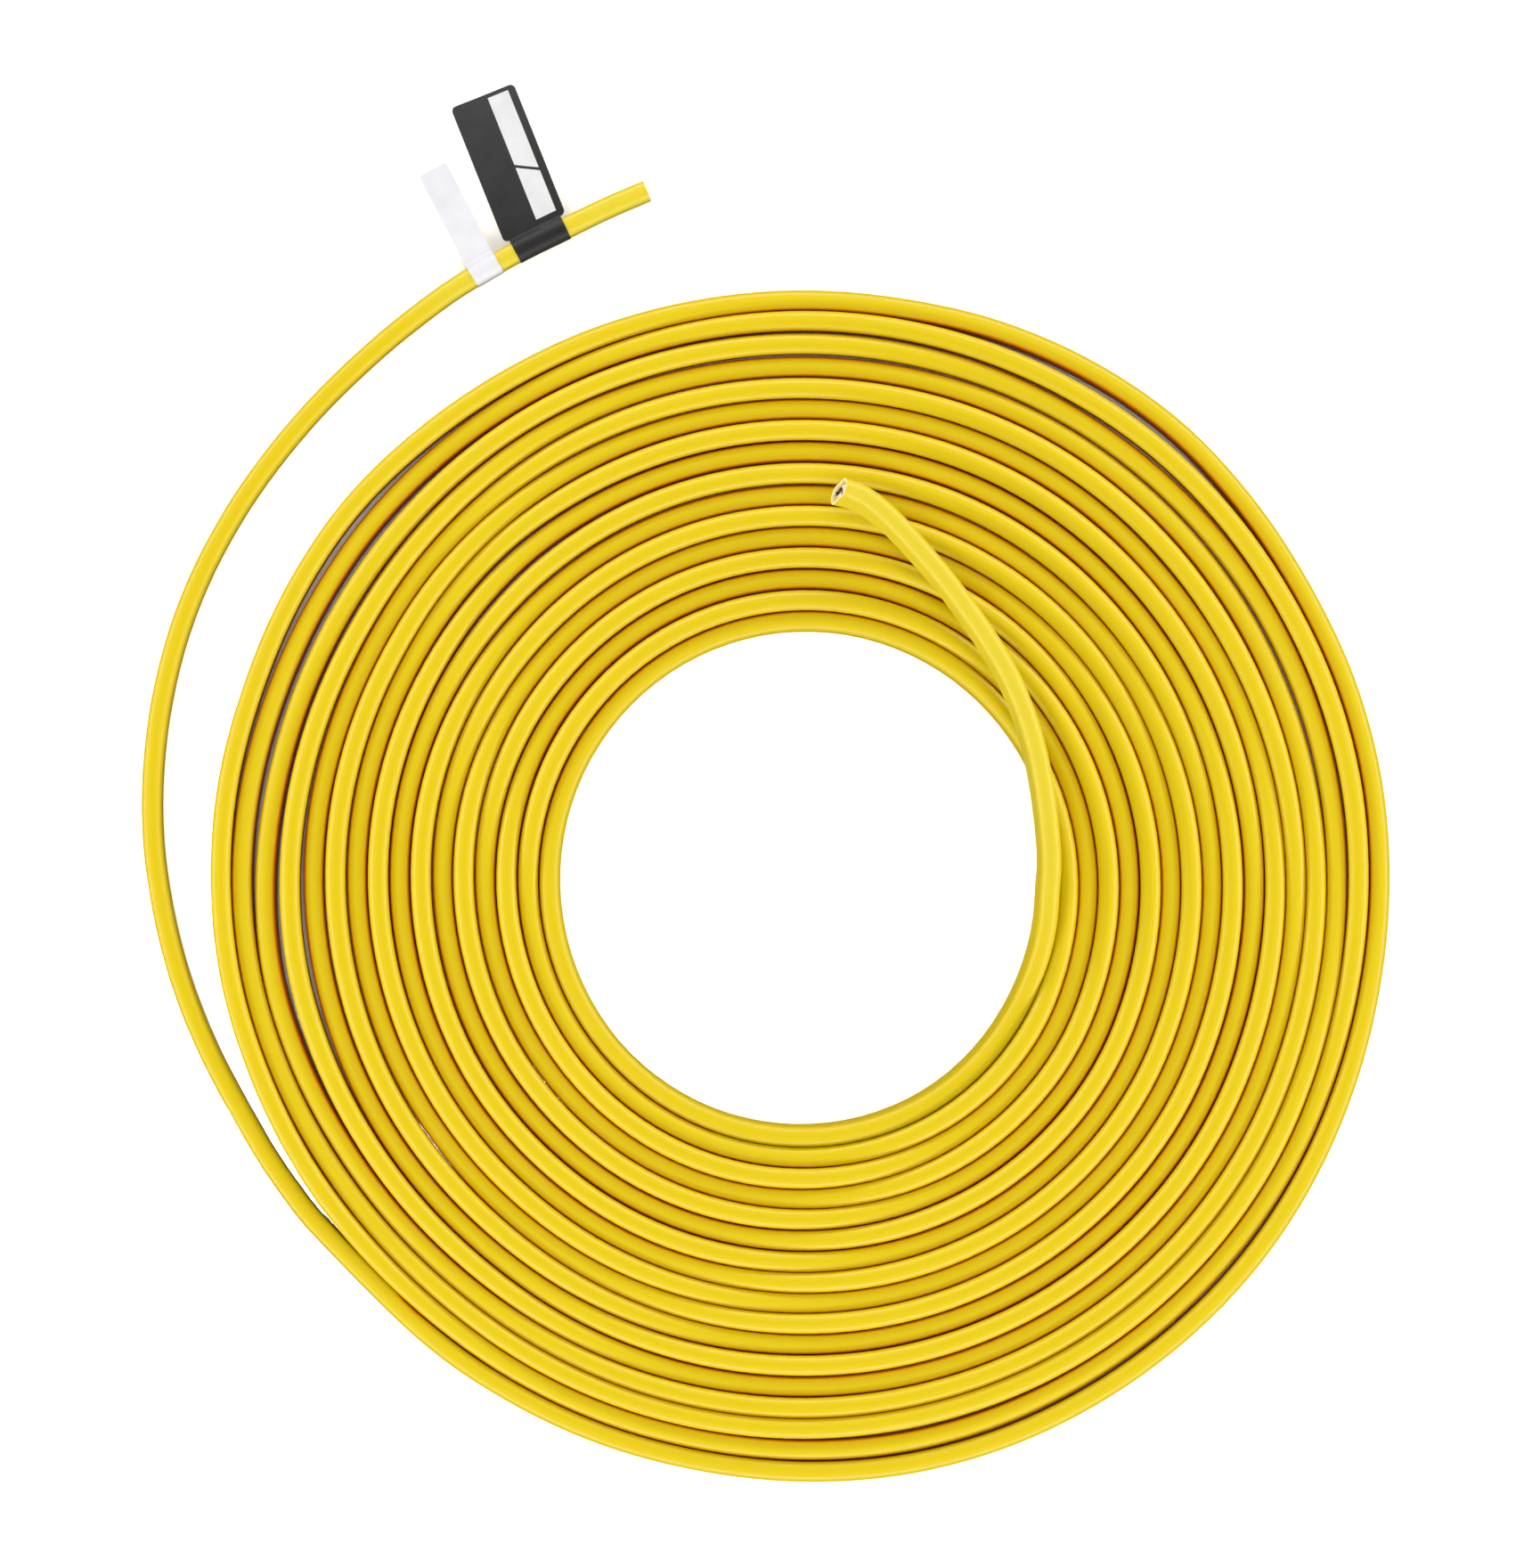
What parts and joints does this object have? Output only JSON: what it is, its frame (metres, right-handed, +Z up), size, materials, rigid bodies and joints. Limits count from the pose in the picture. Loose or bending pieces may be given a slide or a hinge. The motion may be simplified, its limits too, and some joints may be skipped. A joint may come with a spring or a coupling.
{
  "type": "coil of electrical cable",
  "caption": "Flat sheathed building cable wound on edge into a single-layer round coil, both ends free, with a flag label and a strip label on its outer end.",
  "frame": {"origin": "middle of the whole footprint, on the floor that the coil lies on", "axes": "+Z up, +Y towards the cut end that carries the labels, +X to the right of the coil seen from above with +Y up the page"},
  "size_m": [0.428, 0.4744, 0.0308],
  "materials": {
    "sheath": "satin yellow sheath",
    "black_insulation": "satin",
    "white_insulation": "satin",
    "bare_copper": "bare drawn copper",
    "black_label": "satin film",
    "white_label": "matt film"
  },
  "bodies": {
    "root": {"cable_coil": "sheath", "outer_tail": "sheath", "inner_tail": "sheath", "outer_end_black_wire": "black_insulation", "outer_end_ground_wire": "bare_copper", "outer_end_white_wire": "white_insulation", "inner_end_black_wire": "black_insulation", "inner_end_ground_wire": "bare_copper", "inner_end_white_wire": "white_insulation", "black_tag": "black_label", "white_tag": "white_label"}
  },
  "joints": []
}
